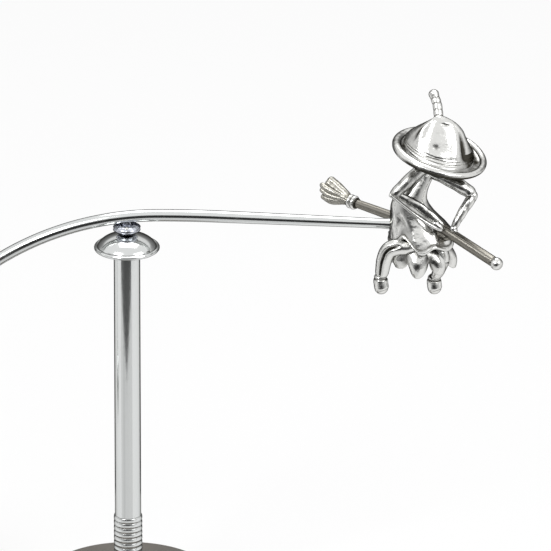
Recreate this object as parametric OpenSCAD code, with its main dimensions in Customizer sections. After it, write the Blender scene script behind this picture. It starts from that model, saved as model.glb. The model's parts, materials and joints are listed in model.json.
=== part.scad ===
// Balancing witch: a figure on a broom at one end of a curved beam, which spins and rocks
// on a post. All sizes are in millimetres. The origin is the middle of the underside,
// +Z is up and the beam carries the figure towards +X.

/* [Base] */
// Diameter of the turned base
base_d = 63; // [56:1:90]
// Thickness of the base
base_h = 11.1; // [10:0.1:20]
// Radius of the base's rounded edges
base_edge_r = 2.5; // [0.5:0.1:4]
// Thickness of the felt under the base
felt_t = 1; // [0.5:0.1:2]
// How far the felt stops short of the base's edge
felt_inset = 3.5; // [3:0.5:8]
// Diameter of the screw that holds the post
screw_d = 4; // [3:0.5:5]

/* [Post] */
// Outside diameter of the post tube
post_d = 9.5; // [8.5:0.1:14]
// Wall of the post tube
post_wall = 1; // [0.8:0.1:1.2]
// Length of the post tube
post_len = 128.9; // [90:0.1:180]
// Number of rings on the collar at the post's foot
ring_n = 12; // [4:1:16]
// Pitch of the rings
ring_pitch = 1.95; // [1.6:0.05:3]
// How far the rings stand out from the tube
ring_out = 0.45; // [0.4:0.05:0.75]

/* [Cap] */
// Diameter of the domed cap
cap_d = 23.6; // [18:0.2:32]
// Rise of the dome above its rim
cap_rise = 5.5; // [5:0.1:8]
// Thickness of the rolled lip
lip_t = 1.5; // [1:0.1:2]

/* [Swivel] */
// Diameter of the waisted hub
hub_d = 10.4; // [9:0.1:13]
// Diameter of the stem that turns in the post
stem_d = 4; // [3.4:0.1:4.6]
// Length of the stem in its bush
stem_len = 27; // [15:1:45]
// Diameter of the cross pin that the beam rocks on
pin_d = 1.2; // [1:0.1:1.4]
// Thickness of the lug under the beam
lug_t = 2.4; // [1.8:0.1:3]
// Diameter of the ball under the stem
thrust_d = 3.6; // [3:0.1:4]

/* [Beam] */
// Diameter of the beam along its curve
beam_d = 4.4; // [3.6:0.1:5.4]
// Diameter of the beam where it meets the figure
beam_tip_d = 3.5; // [2.8:0.1:4]
// Radius of the beam's long curve
beam_r = 104; // [70:1:140]
// Angle that the long curve falls through
beam_fall = 78; // [60:1:88]
// Distance from the pivot to the end of the beam inside the figure
beam_reach = 97.5; // [80:0.5:130]
// Distance of the beam's highest point from the pivot
crown_x = 11; // [4:0.5:14]

/* [Counterweight] */
// Diameter of the ball at the low end of the beam
ball_d = 30.15; // [22:0.05:40]

/* [Figure] */
// Diameter of the hat's brim
hat_d = 35.6; // [28:0.2:42]
// Height of the hat's crown
crown_h = 14; // [9:0.5:16]
// Diameter of the hat's crown at the brim
crown_d = 20.5; // [16:0.5:24]
// Radius of the head
head_r = 4.6; // [4:0.1:5]
// Radius of the dress at its hem
dress_hem_r = 12; // [11:0.1:13]
// Radius of the underskirt at its hem
skirt_hem_r = 12.4; // [11.5:0.1:13.5]
// Wall of the underskirt
skirt_wall = 1.4; // [1:0.1:2]
// Thickness of the broomstick where the hands hold it
stick_d = 4; // [3.2:0.1:4.4]

/* [Hidden] */
$fn = 64;

running = 0.05;      // radial clearance of a shaft that turns
snug = 0.03;         // clearance between pieces that are soldered or pressed together
side_play = 0.15;    // each side of the lug in the hub's slot
chrome = [0.80, 0.81, 0.82];
steel = [0.70, 0.72, 0.73];
gunmetal = [0.40, 0.39, 0.36];
bronze = [0.65, 0.47, 0.25];
felt_green = [0.12, 0.13, 0.12];

// Base and post
base_top = felt_t + base_h;
head_d = 2 * screw_d;
head_h = 0.65 * screw_d;
washer_d = 2.4 * screw_d;
washer_t = 0.8;
recess_d = washer_d + 1;
recess_h = head_h + washer_t + 1;
tube_id = post_d - 2 * post_wall;
post_top = base_top + post_len;
plug_len = 18;
screw_bite = 11;
collar_h = ring_n * ring_pitch;

// Cap: a slice of a sphere that ends inside the lip's bead
lip_r = lip_t / 2;
cap_seat = 1.5;
rim_z = post_top - cap_seat;
lip_at = cap_d / 2 - lip_r;
dome_r = (lip_at * lip_at + cap_rise * cap_rise) / (2 * cap_rise);
cap_top = rim_z + cap_rise;

// Swivel
hub_gap = 0.3;
hub_floor = 0.7;
lug_r = pin_d / 2 + 0.7;
flange_t = 0.8;
hub_z = cap_top + hub_gap;
slot_z = hub_z + hub_floor;
pin_z = slot_z + 0.2 + lug_r;
hub_rise = pin_d / 2 + 0.5;
stem_end = hub_z - stem_len;
bush_end = stem_end - thrust_d - 2;

// Beam: a long curve on the left of its crown, a slight one and a taper on the right
under_beam = 1.5;
beam_z = pin_z + under_beam + beam_d / 2;
crown_z = beam_z + beam_r - sqrt(beam_r * beam_r - crown_x * crown_x);
crown_slope = asin(crown_x / beam_r);
ease_r = 500;
ease_a = 2.6;
ease_end = [crown_x + ease_r * sin(ease_a), crown_z - ease_r * (1 - cos(ease_a))];
taper_len = (beam_reach - ease_end[0]) / cos(ease_a);
beam_end = ease_end + taper_len * [cos(ease_a), -sin(ease_a)];
fall_end = [crown_x - beam_r * sin(beam_fall), crown_z - beam_r + beam_r * cos(beam_fall)];
tail_dir = [-cos(beam_fall), -sin(beam_fall)];
ball_at = fall_end + (ball_d / 2 + 0.6) * tail_dir;
tail_past = 2;
beam_lap = 0.3;
beam_step = 0.03;
grub_d = 3;

// Figure: every place below is measured from the axis of the dress, level with the beam's end
figure_at = [beam_end[0] + 7.5, 0, beam_end[1]];
waist_z = 11;
waist_r = 5.5;
hem_z = -6.5;
recess_top = -3;
skirt_lean = -9;
skirt_foot = [1, -0.4, 0];
torso_pts = [[-1.6, -0.2, 10.4], [-0.4, -1.0, 16.6], [1.6, -1.6, 20]];
head_at = [5, -2.6, 24.8];
nose_tip = head_at + [4.6, -4.1, -0.6];
brim_at = [7.1, -3, 28.3];
hat_lean = 14;
hat_nod = 7.4;
tip_from = [6.4, -3.4, 42.2];
tip_rise = 9;
tip_curl = 2.2;
tip_n = 7;
right_arm_pts = [[-3.1, -4, 18], [-9.2, -8.5, 14.4], [8, -9.2, 1.6]];
right_arm_r = [2.4, 2.2, 1.9];
left_arm_pts = [[5, -1, 17.4], [19.2, -4, 11.3], [12, -11, 0.9]];
left_arm_r = [1.9, 1.8, 1.75];
right_leg_pts = [[-7.4, -5, -5.9], [-12.8, -6.5, -9.8], [-13.6, -6, -16.2]];
right_leg_r = [3, 2.8, 2.3];
left_leg_pts = [[5.6, -2.2, -4.5], [7.5, -3.5, -13.4], [5.6, -3, -18.6]];
left_leg_r = [2.9, 2.7, 1.8];
right_toe = [-12.8, -7.6, -20.4];
left_toe = [5.9, -4.8, -22.4];
stick_pts = [[-24, 18, 1.3], [9.8, -9.5, -0.8], [27.5, -24, -5.6]];
stick_share = [0.74, 1, 0.96];
brush_dir = stick_pts[0] - stick_pts[1];
brush_len = 12;
brush_r = 4;
strand_n = 9;
fold_n = 5;
fold_phase = 10;
skirt_c = [1.6, -0.6];
skirt_top_r = 8;
recess_r = skirt_top_r + 1.9;
skirt_rows = 7;
skirt_cols = 60;
wave = 3;
skirt_low = -13.4;

module at_pin() { translate([0, 0, pin_z]) children(); }
module at_ball() { translate([ball_at[0], 0, ball_at[1]]) children(); }
module at_figure() { translate(figure_at) children(); }

// A cylinder, straight or tapered, from point a to point b
module rod_between(a, b, ra, rb) {
    v = b - a;
    translate(a) rotate([0, acos(v[2] / norm(v)), atan2(v[1], v[0])])
        cylinder(h = norm(v), r1 = ra, r2 = rb);
}

// A limb: balls at the joints, with slightly thinner tapered rods between them
module limb(pts, radii, grow = 0) {
    for (i = [0 : len(pts) - 1])
        translate(pts[i]) sphere(r = radii[i] + grow);
    for (i = [0 : len(pts) - 2])
        rod_between(pts[i], pts[i + 1], 0.97 * radii[i] + grow, 0.94 * radii[i + 1] + grow);
}

// ---------------------------------------------------------------- stand

module felt_pad() {
    color(felt_green) cylinder(h = felt_t, d = base_d - 2 * felt_inset);
}

// Half of a disc with rounded edges, to be turned about Z
module disc_profile(r, z0, z1, edge) {
    square_h = z1 - z0;
    translate([0, z0]) square([r - edge, square_h]);
    translate([0, z0 + edge]) square([r, square_h - 2 * edge]);
    for (z = [z0 + edge, z1 - edge])
        translate([r - edge, z]) circle(r = edge);
}

module base_disc() {
    color(gunmetal) difference() {
        rotate_extrude() disc_profile(base_d / 2, felt_t, base_top, base_edge_r);
        cylinder(h = felt_t + recess_h, d = recess_d);
        cylinder(h = base_top + 1, d = screw_d + 0.5);
    }
}

module base_washer() {
    color(steel) translate([0, 0, felt_t + recess_h - washer_t]) difference() {
        cylinder(h = washer_t, d = washer_d);
        translate([0, 0, -1]) cylinder(h = washer_t + 2, d = screw_d + 0.3);
    }
}

module base_screw() {
    head_top = felt_t + recess_h - washer_t;
    color(steel) difference() {
        union() {
            translate([0, 0, head_top - head_h]) cylinder(h = head_h, d = head_d);
            translate([0, 0, head_top]) cylinder(h = base_top - head_top + screw_bite, d = screw_d);
        }
        translate([0, 0, head_top - head_h - 1])
            cylinder(h = 1 + head_h * 0.6, d = screw_d * 0.7, $fn = 6);
    }
}

module post_plug() {
    color(steel) difference() {
        translate([0, 0, base_top]) cylinder(h = plug_len, d = tube_id - 2 * snug);
        translate([0, 0, base_top - 1]) cylinder(h = screw_bite + 2.5, d = screw_d + 2 * snug);
    }
}

module post_tube() {
    color(steel) translate([0, 0, base_top]) difference() {
        cylinder(h = post_len, d = post_d);
        translate([0, 0, -1]) cylinder(h = post_len + 2, d = tube_id);
    }
}

module ribbed_collar() {
    bead_r = ring_pitch * 0.24;
    sleeve_r = post_d / 2 + 0.3;
    color(steel) translate([0, 0, base_top]) difference() {
        rotate_extrude() {
            square([sleeve_r, collar_h]);
            for (i = [0 : ring_n - 1])
                translate([post_d / 2 + ring_out - bead_r, (i + 0.5) * ring_pitch]) circle(r = bead_r);
        }
        translate([0, 0, -1]) cylinder(h = collar_h + 2, d = post_d + 2 * snug);
    }
}

// Half of the cap, to be turned about Z: a slice of the dome and the lip's bead
module cap_profile() {
    intersection() {
        translate([0, cap_top - dome_r]) circle(r = dome_r);
        translate([0, rim_z]) square([cap_d, cap_rise + 1]);
    }
    translate([0, rim_z - lip_r]) square([lip_at, lip_t]);
    translate([lip_at, rim_z]) circle(r = lip_r);
}

module dome_cap() {
    seat_top = post_top + flange_t + snug;
    color(chrome) difference() {
        rotate_extrude() cap_profile();
        translate([0, 0, rim_z - lip_t])
            cylinder(h = seat_top - rim_z + lip_t, d = post_d + 2 * snug);
        translate([0, 0, rim_z]) cylinder(h = cap_rise + 1, d = stem_d + 0.8);
    }
}

module pivot_bush() {
    color(bronze) difference() {
        union() {
            translate([0, 0, bush_end]) cylinder(h = post_top - bush_end, d = tube_id - 2 * snug);
            translate([0, 0, post_top]) cylinder(h = flange_t, d = post_d - 0.4);
        }
        translate([0, 0, stem_end - thrust_d]) cylinder(h = post_len, d = stem_d + 2 * running);
    }
}

module thrust_ball() {
    color(steel) translate([0, 0, stem_end - thrust_d / 2]) sphere(d = thrust_d - 2 * snug);
}

// ---------------------------------------------------------------- swivel

// Half of the hub, to be turned about Z: two flanges with a hollow waist between them
module hub_profile() {
    edge = 0.3;
    top = pin_z + hub_rise;
    waist = 2.2;
    difference() {
        disc_profile(hub_d / 2, hub_z, top, edge);
        translate([hub_d / 2 + waist - 0.75, (hub_z + top) / 2 - 0.2]) circle(r = waist);
    }
}

module pivot_hub() {
    top_r = 12;
    color(chrome) difference() {
        union() {
            intersection() {
                rotate_extrude() hub_profile();
                translate([0, 0, pin_z + hub_rise - top_r]) sphere(r = top_r);
            }
            translate([0, 0, stem_end]) cylinder(h = stem_len + hub_floor, d = stem_d);
        }
        translate([-hub_d, -lug_t / 2 - side_play, slot_z])
            cube([2 * hub_d, lug_t + 2 * side_play, hub_d]);
        at_pin() rotate([90, 0, 0]) cylinder(h = 2 * hub_d, d = pin_d + 0.02, center = true);
    }
}

module cross_pin() {
    color(steel) at_pin() rotate([90, 0, 0]) cylinder(h = hub_d - 0.6, d = pin_d, center = true);
}

// ---------------------------------------------------------------- beam

// A stretch of round bar bent to radius r in the XZ plane, from angle a0 to a1 above +X
module bent_bar(centre, r, a0, a1, d) {
    translate([centre[0], 0, centre[1]]) rotate([90, 0, 0]) rotate([0, 0, a0])
        rotate_extrude(angle = a1 - a0) translate([r, 0]) circle(d = d);
}

// The pieces of the beam run a little way into each other, each a hair thinner than the one before
module beam_curve(grow = 0) {
    bent_bar([crown_x, crown_z - beam_r], beam_r, 90, 90 + beam_fall, beam_d + 2 * grow);
}

module beam_tip(grow = 0) {
    translate([ease_end[0], 0, ease_end[1]]) rotate([0, 90 + ease_a, 0]) translate([0, 0, -beam_lap])
        cylinder(h = taper_len + beam_lap + grow, d1 = beam_d - 2 * beam_step + 2 * grow,
                 d2 = beam_tip_d + 2 * grow);
}

module beam_rod() {
    color(chrome) {
        beam_curve();
        bent_bar([crown_x, crown_z - ease_r], ease_r, 90 - ease_a, 90 + 0.05, beam_d - beam_step);
        beam_tip();
        translate([fall_end[0], 0, fall_end[1]]) rotate([0, 270 - beam_fall, 0])
            translate([0, 0, -beam_lap]) cylinder(h = ball_d / 2 + 0.6 + tail_past + beam_lap, d = beam_d - beam_step);
    }
}

module beam_lug() {
    foot = 2.5;
    color(chrome) difference() {
        rotate([90, 0, 0]) linear_extrude(height = lug_t, center = true) {
            translate([0, pin_z]) circle(r = lug_r);
            polygon([[-lug_r + 0.1, pin_z], [lug_r - 0.1, pin_z], [foot, beam_z - 1], [-foot, beam_z - 1]]);
        }
        translate([0, 0, beam_z]) rotate([0, 90 - crown_slope, 0])
            cylinder(h = 4 * foot, d = beam_d + 2 * snug, center = true);
        at_pin() rotate([90, 0, 0]) cylinder(h = 2 * lug_t, d = pin_d + 2 * running, center = true);
    }
}

module counterweight_ball() {
    color(chrome) difference() {
        at_ball() sphere(d = ball_d);
        at_ball() rotate([0, 90 - beam_fall, 0]) translate([0, 0, -tail_past - 0.5])
            cylinder(h = ball_d, d = beam_d + 2 * running);
        at_ball() rotate([-90, 0, 0]) cylinder(h = ball_d, d = grub_d + 2 * snug);
    }
}

module counterweight_screw() {
    reach = beam_d / 2 + running;
    grub_len = 6;
    color(steel) at_ball() rotate([-90, 0, 0]) difference() {
        translate([0, 0, reach]) cylinder(h = grub_len, d = grub_d);
        translate([0, 0, reach + grub_len - 2]) cylinder(h = 3, d = grub_d / 2, $fn = 6);
    }
}

// ---------------------------------------------------------------- figure

// Two tapered lengths: the thick one runs a little way into the other where the hands hold it
module stick(grow = 0) {
    radii = stick_share * stick_d / 2;
    lap = 1.5 * (stick_pts[1] - stick_pts[0]) / norm(stick_pts[1] - stick_pts[0]);
    rod_between(stick_pts[0], stick_pts[1] + lap, radii[0] + grow, radii[1] + grow);
    rod_between(stick_pts[1], stick_pts[2], 0.96 * radii[1] + grow, radii[2] + grow);
}

module neck(grow = 0) {
    rod_between(torso_pts[2] - [0.6, 0, 1], head_at, 2.1 + grow, 2.1 + grow);
}

// The dress flares from a narrow waist and leans back, and the body above it leans forwards
module dress_solid() {
    flare = 1.15;
    rows = 5;
    translate(skirt_foot) rotate([0, skirt_lean, 0]) rotate_extrude()
        polygon(concat([[0, hem_z]],
            [for (i = [0 : rows]) let (t = i / rows)
                [dress_hem_r - (dress_hem_r - waist_r) * pow(t, flare), hem_z + t * (waist_z - hem_z)]],
            [[0, waist_z]]));
    limb(torso_pts, [waist_r + 0.3, 5.2, 2.7]);
}

module dress() {
    color(chrome) at_figure() difference() {
        dress_solid();
        translate([skirt_foot[0], skirt_foot[1], hem_z - 3])
            cylinder(h = recess_top - hem_z + 3, r = recess_r);
        translate(-figure_at) beam_tip(snug);
        stick(snug);
        limb(right_arm_pts, right_arm_r, snug);
        limb(left_arm_pts, left_arm_r, snug);
        limb(right_leg_pts, right_leg_r, snug);
        limb(left_leg_pts, left_leg_r, snug);
        neck(snug);
    }
}

// Underskirt: s runs from 0 at its top to 1 at its hem, and the folds deepen towards the hem
function fold(a) = cos(fold_n * a + fold_phase);
function skirt_point(s, a, inward) =
    let (r = (skirt_top_r + (skirt_hem_r - skirt_top_r) * pow(s, 1.3)) * (1 + 0.11 * s * fold(a)) - inward)
    [skirt_c[0] * s + r * cos(a), skirt_c[1] * s + r * sin(a),
     recess_top - snug + s * (skirt_low - recess_top - wave * 0.5 * (1 + fold(a)))];

module underskirt_shell() {
    n = skirt_cols;
    m = skirt_rows;
    outer = [for (i = [0 : m]) for (j = [0 : n - 1]) skirt_point(i / m, 360 * j / n, 0)];
    inner = [for (i = [m : -1 : 0]) for (j = [0 : n - 1]) skirt_point(i / m, 360 * j / n, skirt_wall)];
    rows = 2 * (m + 1);
    polyhedron(points = concat(outer, inner),
        faces = [for (i = [0 : rows - 1]) for (j = [0 : n - 1])
            let (k = (j + 1) % n, i2 = (i + 1) % rows)
            [i * n + j, i * n + k, i2 * n + k, i2 * n + j]], convexity = 6);
}

module underskirt() {
    color(chrome) at_figure() difference() {
        underskirt_shell();
        limb(right_leg_pts, right_leg_r, snug);
        limb(left_leg_pts, left_leg_r, snug);
    }
}

module head() {
    color(chrome) at_figure() difference() {
        union() {
            translate(head_at) sphere(r = head_r);
            neck();
            rod_between(head_at, nose_tip, 1.6, 0.5);
        }
        limb(right_arm_pts, right_arm_r, snug);
        limb(left_arm_pts, left_arm_r, snug);
    }
}

// The hat is turned about its own axis, which leans to the right and nods forwards
module at_brim() { translate(brim_at) rotate([hat_nod, hat_lean, 0]) children(); }

module crown_solid(grow = 0) {
    dome = (crown_d * crown_d / 4 + crown_h * crown_h) / (2 * crown_h) + grow;
    intersection() {
        translate([0, 0, crown_h + grow - dome]) sphere(r = dome);
        cylinder(h = crown_h + 1, r = crown_d);
    }
}

module brim_solid() {
    bead = 1.05;
    rotate_extrude() {
        translate([0, -0.6]) square([hat_d / 2 - bead, 1.2]);
        translate([hat_d / 2 - bead, 0.45]) circle(r = bead);
    }
}

module hat() {
    color(chrome) at_figure() difference() {
        at_brim() union() {
            crown_solid();
            brim_solid();
        }
        translate(head_at) sphere(r = head_r + snug);
        tip_beads(snug);
    }
}

module tip_beads(grow = 0) {
    for (i = [0 : tip_n - 1]) let (s = i / (tip_n - 1))
        translate(tip_from + [-tip_curl * s * s, 0, tip_rise * s])
            sphere(r = 1.35 + 0.35 * s + grow);
}

module hat_tip() {
    color(chrome) at_figure() tip_beads();
}

module right_arm() {
    color(chrome) at_figure() difference() {
        limb(right_arm_pts, right_arm_r);
        stick(snug);
    }
}

module left_arm() {
    color(chrome) at_figure() difference() {
        limb(left_arm_pts, left_arm_r);
        stick(snug);
        limb(right_arm_pts, right_arm_r, snug);
    }
}

module right_leg() {
    color(chrome) at_figure() limb(right_leg_pts, right_leg_r);
}

module left_leg() {
    color(chrome) at_figure() limb(left_leg_pts, left_leg_r);
}

module boot(leg_pts, leg_r, toe) {
    ankle = leg_pts[2] + [0, 0, -0.8];
    color(chrome) at_figure() difference() {
        limb([ankle, toe], [2.5, 2.1]);
        limb(leg_pts, leg_r, snug);
    }
}

module right_boot() { boot(right_leg_pts, right_leg_r, right_toe); }
module left_boot() { boot(left_leg_pts, left_leg_r, left_toe); }

module broom_handle() {
    color(steel) at_figure() stick();
}

module broom_knob() {
    color(chrome) at_figure() difference() {
        translate(stick_pts[2]) sphere(d = stick_d + 0.7);
        stick(snug);
    }
}

// The brush: strands that fan out from the ferrule, along the line of the stick
module brush_frame() {
    translate(stick_pts[0])
        rotate([0, acos(brush_dir[2] / norm(brush_dir)), atan2(brush_dir[1], brush_dir[0])])
            children();
}

// Half of the ferrule, to be turned about the stick's line: a cap over its end, with two beads
module ferrule_profile(bore) {
    difference() {
        union() {
            translate([0, -1.9]) square([2.05, 3.2]);
            translate([1.95, -1]) circle(r = 0.65);
            translate([1.95, 0.6]) circle(r = 0.65);
        }
        translate([-1, -3]) square([1 + bore, 3 + snug]);
    }
}

module broom_ferrule() {
    bore = stick_share[0] * stick_d / 2 + 0.06;
    color(chrome) at_figure() brush_frame() rotate_extrude() ferrule_profile(bore);
}

module broom_bristles() {
    color(chrome) at_figure() {
        brush_frame() {
            translate([0, 0, 1.3 + snug]) cylinder(h = brush_len - 2.8, r1 = 1.6, r2 = brush_r - 0.9);
            for (i = [0 : strand_n - 1]) {
                a = 360 * i / strand_n;
                reach = brush_len - 1.2 - (i % 3);
                rod_between([1.2 * cos(a), 1.2 * sin(a), 2.7],
                    [(brush_r - 1) * cos(a), (brush_r - 1) * sin(a), reach], 0.55, 0.9);
                translate([(brush_r - 1) * cos(a), (brush_r - 1) * sin(a), reach]) sphere(r = 1.05);
            }
        }
    }
}

felt_pad();
base_disc();
base_washer();
base_screw();
post_plug();
post_tube();
ribbed_collar();
dome_cap();
pivot_bush();
thrust_ball();
pivot_hub();
cross_pin();
beam_rod();
beam_lug();
counterweight_ball();
counterweight_screw();
dress();
underskirt();
head();
hat();
hat_tip();
right_arm();
left_arm();
right_leg();
left_leg();
right_boot();
left_boot();
broom_handle();
broom_ferrule();
broom_bristles();
broom_knob();
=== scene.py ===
# %% [markdown]
# # A balancing witch in polished metal
# A desk toy: a cast witch rides a broom at one end of a curved rod, a heavy ball hangs from
# the other end, and the whole rod rocks and turns on a slim post. This lesson builds each
# piece as a surface worked out with numpy, and then lights the polished metal.

# %% Load the frame
import json
import math

import bpy
import numpy as np
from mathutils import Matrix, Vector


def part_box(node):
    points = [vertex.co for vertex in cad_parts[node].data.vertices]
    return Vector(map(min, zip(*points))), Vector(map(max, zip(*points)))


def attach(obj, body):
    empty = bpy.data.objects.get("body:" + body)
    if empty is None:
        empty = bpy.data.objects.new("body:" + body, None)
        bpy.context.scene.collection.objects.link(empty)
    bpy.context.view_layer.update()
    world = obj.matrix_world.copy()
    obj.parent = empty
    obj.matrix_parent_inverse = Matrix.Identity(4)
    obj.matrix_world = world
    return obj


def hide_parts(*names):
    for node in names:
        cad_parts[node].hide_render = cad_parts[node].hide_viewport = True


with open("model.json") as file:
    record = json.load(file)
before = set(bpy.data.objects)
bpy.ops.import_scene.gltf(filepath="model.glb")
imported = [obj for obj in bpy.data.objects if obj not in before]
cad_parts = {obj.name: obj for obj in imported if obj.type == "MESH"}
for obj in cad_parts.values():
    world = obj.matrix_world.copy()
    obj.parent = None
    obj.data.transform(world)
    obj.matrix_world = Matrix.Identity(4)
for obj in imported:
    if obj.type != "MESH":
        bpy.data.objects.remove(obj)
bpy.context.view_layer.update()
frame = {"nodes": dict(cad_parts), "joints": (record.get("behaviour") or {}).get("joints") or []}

MM = 0.001

# %% [markdown]
# ## A grid of points becomes a mesh
# Every piece here is a grid: rows that follow the piece's length and columns that go round
# it. A modeller could push vertices by hand, but a grid keeps the formula readable. The last
# column is joined to the first, the ends are closed with a fan, and the sign of the volume
# says whether the faces look outwards.

# %% Grid to mesh
def signed_volume(points, triangles):
    """A sixth of the sum of a . (b x c) over the triangles: positive when they face outwards."""
    a, b, c = points[triangles[:, 0]], points[triangles[:, 1]], points[triangles[:, 2]]
    return float(np.einsum("ij,ij->i", a, np.cross(b, c)).sum() / 6)


def grid_piece(name, grid, hollow=None, ring=False):
    """A closed piece from grid[row, column] in millimetres. ring joins the last row to the first."""
    rows, cols, _ = grid.shape
    index = np.arange(rows * cols).reshape(rows, cols)
    here = index if ring else index[:-1]
    there = np.roll(index, -1, 0) if ring else index[1:]
    quads = np.stack([here, np.roll(here, -1, 1), np.roll(there, -1, 1), there], -1).reshape(-1, 4)
    points = grid.reshape(-1, 3)
    shade = np.zeros(rows * cols) if hollow is None else np.broadcast_to(hollow, (rows, cols)).ravel()
    u = np.broadcast_to(np.arange(cols + 1) / cols, (len(here), cols + 1))
    v = np.broadcast_to(np.arange(len(here) + 1)[:, None] / len(here), (len(here) + 1, cols))
    corners = [u[:, :-1], v[:-1], u[:, 1:], v[:-1], u[:, 1:], v[1:], u[:, :-1], v[1:]]
    uv = np.stack(corners, -1).reshape(-1, 2)
    fans = np.zeros((0, 3), int)
    if not ring:
        points = np.vstack([points, grid[0].mean(0), grid[-1].mean(0)])
        shade = np.append(shade, [shade[:cols].mean(), shade[-cols:].mean()])
        first, last = index[0], index[-1]
        start = np.stack([np.full(cols, rows * cols), np.roll(first, -1), first], -1)
        end = np.stack([np.full(cols, rows * cols + 1), last, np.roll(last, -1)], -1)
        fans = np.vstack([start, end])
    triangles = np.vstack([quads[:, :3], quads[:, [0, 2, 3]], fans])
    if signed_volume(points, triangles) < 0:
        quads, fans = quads[:, ::-1], fans[:, ::-1]
        uv = uv.reshape(-1, 4, 2)[:, ::-1].reshape(-1, 2)
    mesh = bpy.data.meshes.new(name)
    mesh.from_pydata((points * MM).tolist(), [], quads.tolist() + fans.tolist())
    mesh.uv_layers.new(name="along").data.foreach_set(
        "uv", np.vstack([uv, np.full((3 * len(fans), 2), 0.5)]).astype(np.float32).ravel())
    # Each point carries a painted shade, and the materials darken their colour by it.
    mesh.attributes.new("hollow", "FLOAT", "POINT").data.foreach_set("value", shade.astype(np.float32))
    mesh.shade_smooth()
    piece = bpy.data.objects.new(name, mesh)
    bpy.context.scene.collection.objects.link(piece)
    print(f"{name}: {len(mesh.polygons)} faces")
    return piece


# %% [markdown]
# ## Steps and bells
# A fold that begins softly is a smooth step, and a dent or a ridge is a bell. Nearly every
# detail on the figure is one of these two, or both, times a depth.

# %% Steps, bells and turns
def ease_in(x, start, end):
    """A smooth step, 3t^2 - 2t^3, from 0 at start to 1 at end."""
    t = np.clip((x - start) / (end - start), 0, 1)
    return t * t * (3 - 2 * t)


def bell(x, middle, width):
    """exp(-((x - middle) / width)^2): 1 in the middle, and almost nothing two widths away."""
    return np.exp(-((x - middle) / width) ** 2)


def bump(angle, middle, width):
    """The same bell on angles in degrees, where 359 and 1 are neighbours."""
    return bell((angle - middle + 180) % 360 - 180, 0, width)


def full_turn(count, whole=2 * math.pi):
    """count equal steps once round, without the last, which would be the first again."""
    return np.linspace(0, whole, count, endpoint=False)


# %% [markdown]
# ## Curves that pieces follow
# Limbs, the broomstick and the hat's tip are a round or oval section carried along a curve.
# A Catmull-Rom curve passes through every point it is given, so a knee or an elbow lands
# where it is asked to.

# %% Curves and sections
def through(points, count):
    """count points on a Catmull-Rom curve: 0.5 (2b + (c-a)t + (2a-5b+4c-d)t^2 + (3b-a-3c+d)t^3)."""
    points = np.asarray(points, float)
    if points.ndim == 1:
        points = points[:, None]
    padded = np.vstack([2 * points[0] - points[1], points, 2 * points[-1] - points[-2]])
    place = np.linspace(0, len(points) - 1, count)
    i = np.minimum(place.astype(int), len(points) - 2)
    t = (place - i)[:, None]
    a, b, c, d = padded[i], padded[i + 1], padded[i + 2], padded[i + 3]
    square, cube = 2 * a - 5 * b + 4 * c - d, 3 * b - a - 3 * c + d
    return 0.5 * (2 * b + (c - a) * t + square * t**2 + cube * t**3)


def unit(v):
    """Vectors of length one."""
    return v / np.maximum(np.linalg.norm(v, axis=-1, keepdims=True), 1e-9)


def swept(path, wide, deep=None, sides=48, up=(0, 0, 1)):
    """P(s, a) = path + wide cos(a) side + deep sin(a) lift, with side and lift square to the path."""
    path = np.asarray(path, float)
    rows = len(path)
    wide, deep = np.asarray(wide, float), np.asarray(wide if deep is None else deep, float)
    wide = (wide[:, None] if wide.ndim == 1 else wide) * np.ones((rows, sides))
    deep = (deep[:, None] if deep.ndim == 1 else deep) * np.ones((rows, sides))
    tangent = unit(np.gradient(path, axis=0))
    side = unit(np.cross(tangent, np.asarray(up, float)))
    lift = np.cross(side, tangent)
    a = full_turn(sides)
    return (path[:, None] + (wide * np.cos(a))[..., None] * side[:, None]
            + (deep * np.sin(a))[..., None] * lift[:, None])


def rounded(path, radius):
    """A radius that closes like a ball at both ends: r sqrt(1 - (1 - d/r)^2) at distance d from an end."""
    step = np.linalg.norm(np.diff(path, axis=0), axis=1)
    along = np.concatenate([[0], np.cumsum(step)])
    radius = np.broadcast_to(np.asarray(radius, float).ravel(), (len(path),))
    for distance in (along, along[-1] - along):
        part = np.clip(1 - distance / radius, 0, 1)
        radius = radius * np.sqrt(np.maximum(1 - part**2, 1e-4))
    return radius


def crowded(points, count):
    """A curve whose rows crowd together at both ends, where a rounded end needs them."""
    samples = 600
    fine = through(points, samples)
    place = 0.5 - 0.5 * np.cos(np.linspace(0, math.pi, count))
    place = 0.55 * place + 0.45 * np.linspace(0, 1, count)
    even = np.linspace(0, 1, samples)
    return np.stack([np.interp(place, even, column) for column in fine.T], -1)


def turned(profile, sides=96):
    """P(s, a) = (r(s) cos a, r(s) sin a, z(s)): a profile of (r, z) pairs turned about Z."""
    profile = np.asarray(profile, float)
    a = full_turn(sides)
    r, z = np.maximum(profile[:, :1], 0), profile[:, 1:]
    return np.stack([r * np.cos(a), r * np.sin(a), z + 0 * a], -1)


def soft_corners(corners, radius):
    """Each corner b becomes 6 points of b + (1-t)^2 (p-b) + t^2 (q-b), p and q being radius away."""
    corners = np.asarray(corners, float)
    back = unit(corners[:-2] - corners[1:-1]) * radius
    fore = unit(corners[2:] - corners[1:-1]) * radius
    t = np.linspace(0, 1, 6)[None, :, None]
    bends = corners[1:-1, None] + (1 - t)**2 * back[:, None] + t**2 * fore[:, None]
    return np.vstack([corners[:1], bends.reshape(-1, 2), corners[-1:]])


# %% [markdown]
# ## Base, post and collar
# These are turned on a lathe on the real toy, so each one is a profile carried round the
# post's axis. The corners are rounded a little, because a polished edge catches a thin line
# of light that a sharp one can't.

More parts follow.
